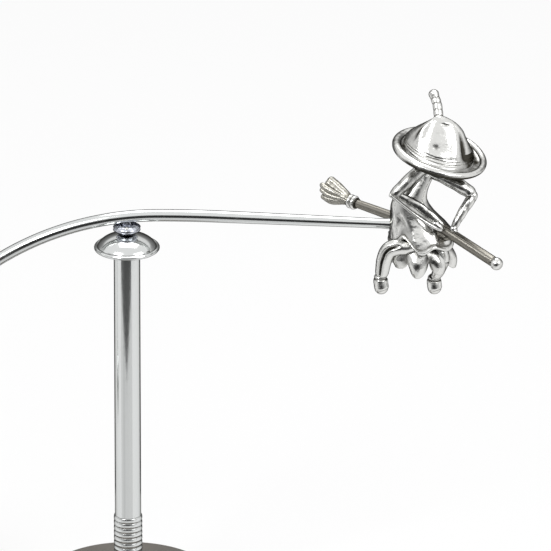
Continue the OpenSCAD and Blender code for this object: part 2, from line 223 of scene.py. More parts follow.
# %% Base disc
low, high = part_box("base_disc")
base_r, base_low, base_top = high[0] / MM, low[2] / MM, high[2] / MM
base = grid_piece("base", turned(soft_corners(
    [(0, base_low), (base_r - 1, base_low), (base_r, base_low + 1), (base_r, base_top - 3),
     (base_r - 0.4, base_top - 1.1), (base_r - 2.2, base_top), (6.2, base_top), (5.4, base_top - 0.35),
     (0, base_top - 0.35)], 0.5), sides=160))

# %% [markdown]
# The post is a plain tube. The collar at its foot looks like wire wound round it: from ring
# to ring the radius follows a sine's absolute value, which is round on the crests and sharp
# in the grooves, and the grooves get a painted shade that makes them darker.

# %% Post and ribbed collar
_, post_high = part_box("post_tube")
post_r, post_top = post_high[0] / MM, post_high[2] / MM
post = grid_piece("post", turned(soft_corners(
    [(0, base_top), (post_r, base_top), (post_r, post_top), (0, post_top)], 0.3)))
collar_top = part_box("ribbed_collar")[1][2] / MM
ring_count, rows_in_ring = 12, 14
turns = np.linspace(0, 1, ring_count * rows_in_ring + 1)
wave = np.abs(np.sin(math.pi * ring_count * turns))
ribs = np.stack([post_r + 0.16 + 0.26 * wave**0.55, base_top + (collar_top - base_top) * turns], -1)
collar = grid_piece(
    "collar", turned(np.vstack([[post_r - 0.6, base_top], ribs, [post_r - 0.6, collar_top]])),
    hollow=0.3 * np.concatenate([[1], 1 - wave, [1]])[:, None])

# %% [markdown]
# ## Domed cap and waisted hub
# The cap is a shallow dome with a rolled lip, spun from sheet metal. The hub above it is a
# small spool with a slot for the beam's lug, and the ends of its cross pin show as two small
# round heads.

# %% Cap
cap_low, cap_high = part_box("dome_cap")
cap_r, lip_low, cap_top = cap_high[0] / MM, cap_low[2] / MM, cap_high[2] / MM
lip_r = 0.75
rim_z = lip_low + lip_r
rise = np.linspace(0, 1, 40) * math.pi / 2
dome = np.stack([(cap_r - 1.15) * np.cos(rise),
                 rim_z + 0.35 + (cap_top - rim_z - 0.35) * np.sin(rise) ** 1.25], -1)
turn = np.linspace(-math.pi * 0.75, math.pi * 0.62, 18)
lip = np.stack([cap_r - lip_r + lip_r * np.cos(turn), rim_z + lip_r * np.sin(turn)], -1)
under = [(0, rim_z + 1.2), (post_r + 2.5, rim_z + 1.0), (cap_r - 2.4, rim_z - 0.1)]
cap = grid_piece("cap", turned(np.vstack([under, lip, dome[1:]]), sides=160))

# %% Hub with its slot
hub_low, hub_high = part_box("pivot_hub")
hub_r, stem_low, hub_top = hub_high[0] / MM, hub_low[2] / MM, hub_high[2] / MM
hub_z = cap_top + 0.3
foot_r = hub_r - 1.9
spool = through([(foot_r, hub_z), (hub_r - 1.5, hub_z + 0.35), (hub_r - 0.6, hub_z + 0.9),
                 (hub_r - 0.05, hub_z + 1.6), (hub_r - 0.15, hub_z + 2.2), (hub_r - 0.4, hub_top - 0.85),
                 (hub_r - 1.1, hub_top - 0.3)], 40)
spool = np.vstack([[0, hub_z], spool, [hub_r - 2.4, hub_top - 0.05], [0, hub_top]])
slot_half = 1.35
sides_of_slot = ((-1, "near"), (1, "far"))
cheeks = []
for sign, word in sides_of_slot:
    cheek = turned(spool, sides=120)
    cheek[..., 1] = sign * np.maximum(sign * cheek[..., 1], slot_half)
    cheeks.append(grid_piece("hub_cheek_" + word, cheek))
web = grid_piece("hub_web", turned(soft_corners(
    [(0, hub_z), (foot_r, hub_z), (foot_r, hub_z + 0.7), (0, hub_z + 0.7)], 0.15)))
stem = grid_piece("hub_stem", turned(soft_corners(
    [(0, stem_low), (2, stem_low), (2, hub_z + 0.2), (0, hub_z + 0.2)], 0.2), sides=64))

# %% Cross pin and its heads
pin_z = frame["joints"][1]["pos_m"][2] / MM
pin = grid_piece("pivot_pin", swept([(0, y, pin_z) for y in np.linspace(-4.3, 4.3, 12)], 0.6, sides=32))
reach = np.array([3.3, 3.7, 4.0, 4.25, 4.38, 4.42])
width = np.array([1.05, 1.05, 0.98, 0.75, 0.4, 0.05])
heads = []
for sign, word in sides_of_slot:
    line = np.stack([0 * reach, sign * reach, 0 * reach + pin_z], -1)
    heads.append(grid_piece("pin_head_" + word, swept(line, width, sides=32)))

# %% [markdown]
# ## The curved beam
# One rod is bent to a long curve on the ball's side and almost none on the witch's side,
# where it tapers. Its middle line is two arcs and a straight, joined without a kink because
# each starts in the direction in which the last one ends.

# %% Beam
crown_x, beam_r, ease_r = 11, 104, 500
fall, ease = math.radians(78), math.radians(2.6)
_, beam_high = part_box("beam_rod")
thick_r, thin_r = 2.2, 1.74
crown_z = beam_high[2] / MM - thick_r
to_ball = np.array([-math.cos(fall), 0, -math.sin(fall)])
to_witch = np.array([math.cos(ease), 0, -math.sin(ease)])


def arc(t, radius):
    """(crown_x + radius sin t, 0, crown_z - |radius| (1 - cos t)): level at the crown, then falling."""
    return np.stack([crown_x + radius * np.sin(t), 0 * t, crown_z - abs(radius) * (1 - np.cos(t))], -1)


left = arc(np.linspace(0, fall, 150)[::-1], -beam_r)
right = arc(np.linspace(0, ease, 12)[1:], ease_r)
depth_in_ball = 17
tail = left[0] + np.linspace(1, 0.02, 14)[:, None] * depth_in_ball * to_ball
nose = right[-1] + np.linspace(1, 66.5, 60)[:, None] * to_witch
line = np.vstack([tail, left, right, nose])
width = np.interp(line[:, 0], [crown_x + 22, 97.5], [thick_r, thin_r])
beam = grid_piece("beam", swept(line, width, sides=72, up=(0, 1, 0)))

# %% [markdown]
# The lug is the flat eye under the rod that the pin goes through. The solder is the small
# cone of metal that runs up the rod where it enters the dress.

# %% Lug and solder
lug_line = np.stack([np.zeros(24), np.linspace(-1.2, 1.2, 24), np.full(24, pin_z)], -1)
a = full_turn(64)
lug_edge = 0.8 + 0.2 * np.minimum(1, rounded(lug_line, 0.25) / 0.25)[:, None]
lug_x = 1.3 * np.cos(a) * (1 + 0.55 * np.clip(np.sin(a), 0, 1))
lug_z = np.where(np.sin(a) > 0, 2.9, 1.3) * np.sin(a)
lug = grid_piece("lug", np.stack(
    [lug_x * lug_edge, lug_line[:, 1:2] + 0 * a, pin_z + lug_z * lug_edge], -1))
solder_line = line[-1] + np.linspace(-11.5, 1, 30)[:, None] * to_witch
solder = grid_piece("beam_solder", swept(
    solder_line, 1.75 + 1.5 * np.linspace(0, 1, 30) ** 2.2, sides=48, up=(0, 1, 0)))

# %% [markdown]
# ## The counterweight
# A heavy ball balances the witch. A ball that has been drilled for a rod isn't a bare
# sphere: it has a small turned shoulder round the hole, and a set screw on its far side.

# %% Ball and shoulder
def set_on(profile_grid, at, axis, side):
    """P = at + z axis + x side + y (side x axis): a turned grid stood along another axis."""
    x, y, z = (profile_grid[..., k:k + 1] for k in range(3))
    return at + z * axis + x * side + y * np.cross(side, axis)


ball_low, ball_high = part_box("counterweight_ball")
ball_r = (ball_high[1] - ball_low[1]) / 2 / MM
t = np.linspace(0, math.pi, 120)
shoulder = 0.5 * bell(t, 0.215, 0.03) - 0.5 * bell(t, 0.27, 0.018)
ball_profile = np.stack([(ball_r + shoulder) * np.sin(t), (ball_r + shoulder) * np.cos(t)], -1)
across = np.array([-math.sin(fall), 0, math.cos(fall)])
ball = grid_piece("ball", set_on(turned(ball_profile, sides=144), left[0] + (ball_r + 0.6) * to_ball,
                                 -to_ball, across))

# %% [markdown]
# ## The witch's dress
# Everything on the witch is placed from one point inside her dress, level with the beam's
# end. The dress hangs straight on one side and flares on the other, so its middle line and
# its half widths are given height by height, and folds that deepen towards the hem are
# added to the radius. The hem is a rolled bead, as it is on a wax model made for casting.

# %% Where the witch sits
rod_end = beam_high[0] / MM - 0.08
witch_at = np.array([rod_end + 7.5, 0, np.interp(rod_end, line[:, 0], line[:, 2])])
print("witch placed from", witch_at.round(2))


def hem_edge(outside, inside, rows, drop):
    """rows of half a round under a hem: (o + i) / 2 + (o - i) / 2 cos t, and lower by drop sin t."""
    t = np.linspace(0, math.pi, rows + 2)[1:-1, None, None]
    middle, half = (outside[-1] + inside[-1]) / 2, (outside[-1] - inside[-1]) / 2
    return middle + half * np.cos(t) + np.array([0, 0, -drop]) * np.sin(t)


# %% Dress
NECK_Z = 23.6
# Height, left edge, right edge, half depth and lean towards the far side, all in millimetres.
DRESS = np.array([
    (23.6, 1.0, 5.0, 1.8, 0.2), (22.6, -0.8, 5.6, 2.6, 0.3), (21.4, -1.7, 5.7, 3.0, 0.0),
    (19.8, -2.4, 5.2, 3.2, -0.5), (18, -3.4, 4.5, 3.4, -1.1), (16, -4.6, 3.5, 3.6, -1.8),
    (14, -6.0, 2.8, 4.0, -2.2), (12, -8.2, 2.5, 4.6, -2.3), (10.4, -9.9, 2.6, 5.2, -2.1),
    (8, -10.5, 3.6, 6.5, -1.5), (5.3, -10.7, 5.3, 8.1, -0.9), (3.3, -10.8, 6.9, 9.3, -0.6),
    (0, -10.9, 9.8, 11.1, -0.2), (-3, -11.1, 12.0, 12.6, 0), (-5.5, -11.2, 13.1, 13.6, 0)])
DRESS_COLUMNS = 200


def dress_grid(inward=0.0):
    """Rows from neck (s = 0) to hem (s = 1): half width * (1 + folds and dents) + the hem's roll."""
    s = np.linspace(0, 1, 110)[:, None]
    a = full_turn(DRESS_COLUMNS, 360)[None, :]
    hem = (-5.1 + 3.7 * bump(a, 238, 17) - 1.3 * bump(a, 268, 14) + 0.9 * bump(a, 292, 12)
           - 0.9 * bump(a, 318, 16) + 1.0 * bump(a, 350, 22) - 0.8 * np.cos(np.radians(5 * a)) * (a < 180))
    z = NECK_Z + (hem - NECK_Z) * s
    left, right, deep, lean = (
        np.interp(NECK_Z - z, NECK_Z - DRESS[:, 0], DRESS[:, k]) for k in (1, 2, 3, 4))
    middle, wide = (left + right) / 2, (right - left) / 2
    fold = (0.018 * np.cos(np.radians(6 * (a - 268))) + 0.012 * np.cos(np.radians(11 * a + 40))
            + 0.05 * bump(a, 308, 26)) * ease_in(s, 0.62, 1.0)
    dent = -0.09 * bump(a, 234, 15) * bell(s, 0.77, 0.075) + 0.05 * bump(a, 216, 10) * bell(s, 0.63, 0.07)
    roll = 0.55 * bell(s, 0.985, 0.016)
    scale = 1 + fold + dent
    x = middle + ((wide - inward) * scale + roll) * np.cos(np.radians(a))
    y = lean + ((deep - inward) * scale + roll) * np.sin(np.radians(a))
    # low is a painted shade: darker in the folds and dents, with a dark painted line just above the hem's
    # roll.
    low = 0.4 * ease_in(-fold - dent, 0.0, 0.08) + 0.8 * bell(s, 0.955, 0.012)
    return np.stack([x, y, z + 0 * x], -1), np.clip(low + 0 * x, 0, 1)


outside, dress_shade = dress_grid()
inside, _ = dress_grid(inward=1.1)
edge_rows, inner_rows = 6, 21
# The inside of the dress is painted fully dark, a painted shade.
dress = grid_piece(
    "dress", witch_at + np.vstack([outside, hem_edge(outside, inside, edge_rows, 0.55),
                                   inside[:-inner_rows - 1:-1]]),
    hollow=np.vstack([dress_shade, np.zeros((edge_rows, DRESS_COLUMNS)),
                      np.ones((inner_rows, DRESS_COLUMNS))]))

# %% [markdown]
# ## The scalloped underskirt
# Under the hem hang rounded tongues of a second skirt. One formula makes them all: the
# hem's height follows the absolute value of a cosine, which is round at the bottom of each
# tongue and sharp between two of them.

# %% Underskirt
SKIRT_ROWS, SKIRT_COLUMNS = 44, 256


def skirt_grid(inward=0.0):
    """z falls by (reach - 3.6) |cos(4 (a - 258))|^0.4, and between two tongues the radius pulls in."""
    s = np.linspace(0, 1, SKIRT_ROWS)[:, None]
    a = full_turn(SKIRT_COLUMNS, 360)[None, :]
    tongue = np.abs(np.cos(np.radians(4 * (a - 258))))
    reach = 9.9 + 0.9 * bump(a, 258, 20) - 1.4 * bump(a, 213, 18) - 0.6 * bump(a, 120, 60)
    z = -5.2 - s * (3.6 + (reach - 3.6) * tongue**0.4)
    r = 8.6 + 3.3 * np.sin(2.2 * s) + (1.7 * tongue**1.5 - 1.1) * ease_in(s, 0.0, 0.6) - inward
    grid = np.stack([0.4 + 1.0 * s + r * np.cos(np.radians(a)), -0.6 + r * np.sin(np.radians(a)), z], -1)
    # A painted shade between the tongues, and over the top rows, where the dress's hem hangs over them.
    between = ease_in(1 - tongue, 0.3, 0.85) * ease_in(s, 0.0, 0.3)
    return grid, np.maximum(0.8 * between, 1 - ease_in(s, 0.1, 0.42))


outside, skirt_shade = skirt_grid()
inside, _ = skirt_grid(inward=1.0)
edge_rows = 5
# The inside of the underskirt is painted fully dark, a painted shade.
skirt = grid_piece(
    "underskirt", witch_at + np.vstack([outside, hem_edge(outside, inside, edge_rows, 0.5), inside[::-1]]),
    hollow=np.vstack([0.7 * skirt_shade, np.zeros((edge_rows, SKIRT_COLUMNS)),
                      np.ones((SKIRT_ROWS, SKIRT_COLUMNS))]))

# %% [markdown]
# ## Arms and hands
# A sleeve is an oval section that swells below the elbow and narrows at the wrist. The near
# sleeve ends in a rolled edge along its lower side. The hands are small knuckled forms, four
# shallow waves across a rounded end, closed round the broomstick.

# %% Arms
def limb(name, points, wrinkle, waves, sides=56, rows=110, flat=1.0, up=(0, 0, 1), shade=0.0):
    """A tube through (x, y, z, radius) points. flat squeezes it, and wrinkle cos(2 pi waves s) rings it."""
    path = crowded(points, rows)
    radius = rounded(path[:, :3], path[:, 3])[:, None]
    s = np.linspace(0, 1, rows)[:, None]
    ring = wrinkle * np.cos(2 * math.pi * waves * s + 1.3 * np.sin(full_turn(sides))) * np.sin(math.pi * s)
    grid = swept(path[:, :3], radius * (1 + ring), radius * flat * (1 + ring), sides, up)
    # creases is a painted shade in the wrinkles' troughs, and shade is a painted shade laid over the whole
    # limb.
    creases = 0.4 * ease_in(-ring, 0.2 * wrinkle, wrinkle + 1e-6)
    return grid_piece(name, witch_at + grid, hollow=np.maximum(creases, shade))


# The near upper arm is painted a little darker all over: a painted shade of 0.2.
near_upper = limb(
    "near_upper_arm", [(2.2, -2.6, 23.2, 1.9), (-1.3, -3.8, 21.1, 2.2), (-4.8, -5.4, 18.2, 2.25),
                       (-8.1, -6.7, 15.2, 2.1), (-10.4, -7.5, 13.2, 1.6)], 0.025, waves=4, shade=0.2)
near_fore = limb(
    "near_forearm", [(-10.6, -7.1, 14.8, 1.3), (-6.4, -7.4, 12.9, 1.9), (-1.6, -8.6, 10.5, 2.2),
                     (3.4, -9.8, 6.9, 2.0), (8.2, -10.2, 2.8, 1.3)],
    0.008, waves=4, flat=0.55, up=(0, 1, 0))
roll_line = crowded([(-11.0, -8.3, 14.8), (-7.2, -10.0, 12.2), (-2.2, -11.9, 8.6), (3.0, -12.5, 5.0),
                     (7.0, -12.0, 2.5)], 90)
roll_size = rounded(roll_line, 0.62 + 0.2 * bell(np.linspace(0, 1, 90), 0, 0.07))
near_roll = grid_piece("near_sleeve_roll", witch_at + swept(roll_line, roll_size, sides=32))
far_upper = limb(
    "far_upper_arm", [(2.6, -1.2, 20.6, 1.6), (5.6, -1.6, 19.4, 1.7), (9.8, -2.4, 18.0, 2.1),
                      (14.4, -3.4, 16.0, 2.5), (17.6, -3.9, 14.0, 2.3), (19.4, -4.3, 12.2, 1.9)],
    0.03, waves=5)
far_fore = limb(
    "far_forearm", [(19.6, -3.9, 14.4, 1.7), (18.3, -5.2, 11.9, 1.85), (16.2, -7.0, 9.2, 1.75),
                    (13.7, -8.8, 5.4, 1.5), (11.8, -10.0, 2.0, 1.15)], 0.03, waves=5)

# %% [markdown]
# A hand this small needs no separate fingers. Four shallow waves across its outer side read
# as knuckles, and the dips between them get a painted shade.

# %% Hands
def hand(name, start, end, size):
    """A rounded form with knuckles: radius * (1 + 0.1 (|sin(4 pi s)| - 0.5)) on its outer side."""
    rows, sides = 60, 48
    path = crowded([start, np.mean([start, end], 0) + [0, -0.5, 0.5], end], rows)
    s = np.linspace(0, 1, rows)[:, None]
    outer = 0.5 + 0.5 * np.cos(full_turn(sides)[None, :] - 2.2)
    knuckle = 0.10 * (np.abs(np.sin(4 * math.pi * s)) - 0.5) * outer
    radius = rounded(path, size)[:, None] * (1 + knuckle)
    # The dips between the knuckles get a painted shade.
    return grid_piece(name, witch_at + swept(path, radius, radius * 0.85, sides),
                      hollow=ease_in(-knuckle, 0, 0.05))


near_hand = hand("near_hand", (4.4, -10.4, 5.4), (8.0, -11.2, 1.9), 1.5)
far_hand = hand("far_hand", (11.7, -9.9, 3.4), (12.5, -10.6, 0.3), 1.4)

# %% [markdown]
# ## Legs and boots
# Each leg is a trouser leg that is full at the knee and gathered at the ankle, with a short
# round-toed boot under it. A boot is one curve from the cuff to the toe with a low heel, so
# its radius swells twice.

# %% [markdown]
# The near leg has one deep crease down its shin, where the wax was pressed in with a tool.
# It is a bell in the angle round the leg, eased in below the knee and out above the ankle.

# %% Legs
leg_rows, leg_sides = 150, 96
path = crowded([(0.4, -7.6, -4.8, 2.4), (-4.2, -8.3, -5.4, 2.8), (-8.4, -8.5, -5.5, 3.0),
                (-11.2, -8.1, -7.0, 3.0), (-12.7, -7.6, -10.6, 2.85), (-13.4, -7.0, -14.8, 2.55),
                (-13.8, -6.6, -18.2, 2.25)], leg_rows)
s = np.linspace(0, 1, leg_rows)[:, None]
crease = (bell(full_turn(leg_sides)[None, :], math.radians(246), 0.21)
          * ease_in(s, 0.30, 0.42) * (1 - ease_in(s, 0.82, 0.92)))
size = rounded(path[:, :3], path[:, 3])[:, None] * (1 - 0.45 * crease)
# The crease is also painted dark along its length: a painted shade.
near_leg = grid_piece("near_leg", witch_at + swept(path[:, :3], size, sides=leg_sides, up=(0, 1, 0)),
                      hollow=crease)
far_leg = limb(
    "far_leg", [(5.2, -3.6, -3.4, 2.6), (6.9, -5.8, -7.6, 3.2), (7.5, -6.7, -11.4, 3.05),
                (6.9, -6.0, -15.0, 2.4), (5.9, -5.0, -18.0, 1.85), (5.6, -4.7, -19.6, 1.8)],
    0.02, waves=5, sides=64, rows=120)


# %% Boots
def boot(name, points, size):
    """size * (1 - 0.12 dip - 0.04 sole + 0.02 cuff), three bells along one curve from cuff to toe."""
    path = crowded(points, 110)
    s = np.linspace(0, 1, 110)
    dip, sole, cuff = bell(s, 0.27, 0.045), bell(s, 0.74, 0.03), bell(s, 0.15, 0.07)
    radius = rounded(path, size * (1 - 0.12 * dip - 0.04 * sole + 0.02 * cuff))
    # A painted shade in the boot's dip below the cuff and along the sole's line.
    return grid_piece(name, witch_at + swept(path, radius, radius * 0.95, 56, up=(0.3, 1, 0.2)),
                      hollow=np.clip(0.9 * dip + 0.5 * sole, 0, 1)[:, None])


near_boot = boot("near_boot", [(-14.1, -6.4, -16.2), (-14.0, -6.4, -19.2), (-13.6, -6.7, -22.0),
                               (-12.9, -7.3, -24.0)], 2.65)
far_boot = boot("far_boot", [(5.3, -4.5, -17.4), (5.2, -4.2, -20.4), (5.5, -4.5, -23.0),
                             (6.1, -5.1, -24.9)], 2.65)

# %% [markdown]
# ## Head
# The hat hides the head from above, and only its chin and nose show from the side. It is a
# plain doll's head: an egg with a nose, two shallow sockets, a closed mouth and a chin, each
# a small bell added to the radius, and combed hair behind.

# %% Head
head_at = np.array([5.0, -2.6, 24.8])
facing = unit(np.array([0.76, -0.62, -0.12]))
sideways = unit(np.cross([0, 0, 1], facing))
upwards = np.cross(facing, sideways)
lat = np.linspace(-90, 90, 120)[:, None]
lon = full_turn(180, 360)[None, :] - 180


def spot(across, high, wide, tall):
    """A bell on the face, exp(-(lon - across)^2 / wide^2 - (lat - high)^2 / tall^2)."""
    return np.exp(-((lon - across) / wide) ** 2 - ((lat - high) / tall) ** 2)


relief = (0.95 * spot(0, -2, 9, 11) + 0.4 * spot(0, 10, 7, 14)
          - 0.32 * (spot(24, 10, 12, 8) + spot(-24, 10, 12, 8))
          + 0.16 * (spot(24, 9, 7, 5) + spot(-24, 9, 7, 5))
          + 0.18 * (spot(24, 22, 16, 4) + spot(-24, 22, 16, 4))
          - 0.20 * spot(0, -27, 17, 2.2) + 0.16 * spot(0, -32, 12, 4) + 0.14 * spot(0, -22, 12, 4)
          + 0.42 * spot(0, -48, 20, 12) + 0.16 * (spot(38, -12, 16, 16) + spot(-38, -12, 16, 16)))
back = ease_in(np.abs(lon), 78, 105)
strand_wave = np.cos(np.radians(26 * lon))
radius = (4.35 + relief + (0.42 * back + 0.10 * back * strand_wave))[..., None]
ahead = (np.cos(np.radians(lat)) * np.cos(np.radians(lon)))[..., None]
aside = (np.cos(np.radians(lat)) * np.sin(np.radians(lon)))[..., None]
high = (np.sin(np.radians(lat)) + 0 * lon)[..., None]
head_grid = head_at + radius * (ahead * 0.98 * facing + aside * 0.9 * sideways + high * 1.06 * upwards)
# A painted shade in the face's hollows, the eye sockets and the mouth line, and between the combed strands
# of hair.
hair_groove_shade = 0.5 * back * ease_in(-strand_wave, 0, 1)
head = grid_piece("head", witch_at + head_grid, hollow=np.clip(ease_in(-relief, 0.02, 0.25) + hair_groove_shade, 0, 1))
neck_line = crowded([(0.9, -1.2, 17.6), (2.4, -1.8, 20.4), (4.4, -2.3, 23.4)], 50)
neck = grid_piece("neck", witch_at + swept(neck_line, rounded(neck_line, 2.0), sides=48))

# %% [markdown]
# ## The hat
# The hat is one turned profile, from under the brim, round its edge, across the dished brim
# and up the crown. Then it is made a witch's own: the crown slumps to one side and is
# squeezed from front to back, its flanks are creased, and the brim curls up at the back.

# %% Hat
CROWN_TOP = 14.65
hat_profile = [(0.02, -1.0), (6, -1.1), (11, -1.35), (14.2, -1.45), (16.0, -0.9), (16.6, 0.0),
               (15.9, 0.7), (15.0, 0.2), (14.0, -0.25), (12.9, -0.15), (12.0, 0.5), (11.25, 1.3),
               (10.7, 2.4), (10.15, 4.0), (9.65, 6.0), (9.0, 8.0), (8.1, 9.8), (6.9, 11.4),
               (5.4, 12.75), (3.8, 13.7), (2.2, 14.35), (0.9, 14.6), (0.02, CROWN_TOP)]
profile = through(hat_profile, 300)
a = full_turn(240, 360)[None, :]
r, z = np.maximum(profile[:, :1], 0.02), profile[:, 1:]
crown = ease_in(z, 0.6, 3.0) * ease_in(11.6 - r, 0, 1.0)
height = np.clip(z / CROWN_TOP, 0, 1) * crown
above = (z > 0.3) & (r < 12.6)
left = np.interp(z, [0.4, 1.0, 3, 5, 7, 9, 11, 12.5, 14], [0, 2.4, 3.3, 2.5, 1.2, -0.1, -1.1, -1.3, -0.5])
right = np.interp(z, [0.4, 1.0, 3, 5, 7, 9, 11], [0, 1.2, 1.7, 0.8, 0.1, -0.4, 0])
flank = left * bump(a, 163, 44) + right * bump(a, 24, 36)
wide = r * (1 + 0.02 * crown * np.cos(np.radians(3 * a + 50))
            + 0.015 * crown * np.cos(np.radians(5 * a - 30))) + flank * above
# Ridges and creases as (weight, angle, width) triples, then their height on the crown and its spread.
creases = [([(0.7, 214, 9), (-0.6, 200, 7), (-0.3, 230, 8)], 0.66, 0.26),
           ([(0.6, 302, 10), (-0.7, 326, 9)], 0.42, 0.32), ([(-0.35, 258, 8)], 0.38, 0.06),
           ([(0.4, 262, 16)], 0.24, 0.06), ([(0.5, 292, 34)], 0.93, 0.035), ([(-0.4, 286, 26)], 0.87, 0.03)]
ridges = sum(sum(weight * bump(a, at, width) for weight, at, width in triples)
             * bell(height, middle, spread) for triples, middle, spread in creases)
base_rings = (0.13 * np.cos(2 * math.pi * z / 0.9) * ease_in(z, 0.3, 0.9)
              * (1 - ease_in(z, 2.2, 3.4)) * (r < 12.5))
wide = wide + crown * ridges + base_rings * (0.4 + bump(a, 262, 60))
slump = np.interp(z, [0, 2, 6, 10, 13, 14, CROWN_TOP], [0, 0.1, 0.8, 1.5, 2.1, 2.6, 3.6]) * (z > 0.3)
curl = bump(a, 48, 26) * ease_in(r, 11.5, 16.0)
tall = z + 0.5 * curl - 0.35 * bump(a, 130, 60) * ease_in(r, 11.5, 16.0)
x = wide * np.cos(np.radians(a)) - slump
squeeze = np.interp(z, [0.3, 1.3, 4, 7, 10, 13, 14.6], [1, 0.95, 0.87, 0.72, 0.58, 0.47, 0.47])
y = wide * np.sin(np.radians(a)) * np.where(above, squeeze, 1.0) + 0.2 * slump
lean, nod = math.radians(14), math.radians(7.4)
nodding = np.array([[1, 0, 0], [0, math.cos(nod), -math.sin(nod)], [0, math.sin(nod), math.cos(nod)]])
leaning = np.array([[math.cos(lean), 0, math.sin(lean)], [0, 1, 0], [-math.sin(lean), 0, math.cos(lean)]])
tilt = (leaning @ nodding).T
brim_at = np.array([7.1, -3.0, 28.3])
hat_grid = brim_at + np.stack([x, y, tall + 0 * x], -1) @ tilt
# A painted shade: in the brim's dish beside the rim, over the whole underside of the brim, and in the
# crown's creases.
hat_shade = 0.7 * bell(r, 13.4, 1.6) * (z > -0.6) + 0.9 * (z < -0.7) + ease_in(-ridges, 0.1, 0.6) * crown
# The flanks get a painted shade as well: grey on the left, nearly black in the low recess on the right.
flank_shade = 0.45 * bump(a, 180, 34) + 1.1 * bump(a, 345, 22) * (z < 4)
hat_shade = hat_shade + flank_shade * above * ease_in(12.5 - z, 0, 4)
hat = grid_piece("hat", witch_at + hat_grid, hollow=np.clip(hat_shade, 0, 1))

# %% [markdown]
# The brim ends in a thick rounded bead. It is a ring of its own here: a round section carried
# round the brim, thicker at the front, with a groove along its inner side and a rougher underside that is
# painted darker, a painted shade.

# %% The rolled rim
a = full_turn(240, 360)
thick = 1.22 + 0.50 * bump(a, 208, 55) + 0.20 * bump(a, 275, 40) + 0.05 * np.cos(np.radians(4 * a))
out = 17.4 - thick - 0.3 * bump(a, 48, 28)
lift = (0.25 + 0.55 * bump(a, 262, 52) + 0.55 * bump(a, 48, 26) - 0.35 * bump(a, 130, 60)
        + 0.12 * np.cos(np.radians(3 * a + 20)))
turn = full_turn(48, 360)[None, :]
# A painted shade on the rim's underside, strongest at the front.
from_below = np.abs((turn - 322 + 180) % 360 - 180)
in_front = 1 - ease_in(np.abs(a - 280), 46, 68)[:, None]
underside_shade = (1 - ease_in(from_below, 38, 52)) * (0.15 + 0.85 * in_front)
groove = bell(turn, 352, 12) * (0.3 + 0.7 * bump(a, 265, 60)[:, None])
roll = thick[:, None] * (1 - 0.12 * groove)
around, across = np.radians(a)[:, None], out[:, None] + roll * np.cos(np.radians(turn))
rim_grid = np.stack([across * np.cos(around) - 0.25, across * np.sin(around),
                     lift[:, None] + 0.95 * roll * np.sin(np.radians(turn))], -1)
rim = grid_piece("hat_rim", witch_at + brim_at + rim_grid @ tilt, hollow=np.clip(underside_shade, 0, 1), ring=True)

# %% [markdown]
# The tip is a bent finger of wax above the crown, with rings worked into its lower part. The
# rings fade out towards the end, where the tip is smooth and a little thicker.

# %% The hat's ringed tip
tip_rows = 170
tip_line = crowded([(6.7, -3.3, 41.2), (6.5, -2.3, 43.0), (6.1, -0.4, 46.0), (5.2, 1.2, 48.4),
                    (4.3, 2.8, 50.6)], tip_rows)
s = np.linspace(0, 1, tip_rows)
rings = 0.06 * (np.abs(np.sin(math.pi * 7.5 * s)) - 0.6) * ease_in(1 - s, 0.14, 0.26)
size = rounded(tip_line, 1.68 + 0.28 * ease_in(s, 0.7, 0.84) + 0.8 * np.exp(-s / 0.06)) * (1 + rings)
# The troughs between the rings get a painted shade.
tip = grid_piece("hat_tip", witch_at + swept(tip_line, size, sides=56, up=(0, 1, 0)),
                 hollow=0.6 * ease_in(-rings, 0.0, 0.036)[:, None])

# %% [markdown]
# ## The broom
# The stick is drawn wire with lengthwise grooves, and the grooves are a small wave round its
# section. The brush is a sheaf of strands: each one follows its own gently bent path from
# the ferrule and ends in a rounded tip.

# %% Broomstick
STICK_ROWS, STICK_SIDES = 90, 132
stick_rear, stick_bend = np.array([-24, 18, 1.4]), np.array([9.8, -9.5, -0.8])
stick_front = np.array([27.0, -24, -5.5])


def stick(name, path, radius):
    """A grooved rod: r (1 + 0.012 cos(11 a) + 0.006 cos(23 a + 1))."""
    a = full_turn(STICK_SIDES)
    groove = 0.012 * np.cos(11 * a) + 0.006 * np.cos(23 * a + 1)
    size = rounded(path, radius)[:, None] * (1 + groove)
    # The grooves get a painted shade.
    return grid_piece(name, witch_at + swept(path, size, sides=STICK_SIDES),
                      hollow=0.5 * ease_in(-groove, 0.0, 0.014))


rear = crowded([stick_rear, stick_rear * 0.5 + stick_bend * 0.5,
                stick_bend + 0.03 * (stick_bend - stick_rear)], STICK_ROWS)
broom_rear = stick("broomstick_rear", rear, np.linspace(1.48, 2.0, STICK_ROWS))
grip = np.array([9.8, -9.5, 0.9])
front = crowded([grip - 0.27 * (stick_front - grip), (grip + stick_front) / 2, stick_front], STICK_ROWS)
broom_front = stick("broomstick_front", front, 1.93)

# %% [markdown]
# The stick's front end carries a round knob with a flattened pole. At its rear end a ferrule
# with two turned beads holds the brush. A bead is half a circle added to the radius.

# %% Knob and ferrule
knob_r, flattened = 2.3, 0.22
t = np.linspace(0, math.pi, 60)
knob_profile = np.stack([knob_r * np.sin(t), knob_r * np.cos(t)], -1)
knob_profile[:, 1] -= flattened * bell(knob_profile[:, 0], 0, 1.1) * np.sign(knob_profile[:, 1])
forward = unit(stick_front - grip)
knob = grid_piece("broom_knob", witch_at + set_on(
    turned(knob_profile, sides=72), stick_front + forward * 0.3, forward,
    unit(np.cross(forward, [0, 0, 1]))))
backward = unit(stick_rear - stick_bend)
ferrule_half = 2.2
s = np.linspace(-ferrule_half, ferrule_half, 90)
beads = 1.95
for bead_at in (-0.9, 0.75):
    beads = beads + 0.62 * np.sqrt(np.clip(1 - ((s - bead_at) / 0.68) ** 2, 0, 1))
ends = 0.4 + 9 * (ferrule_half - np.abs(s)) + 1.2
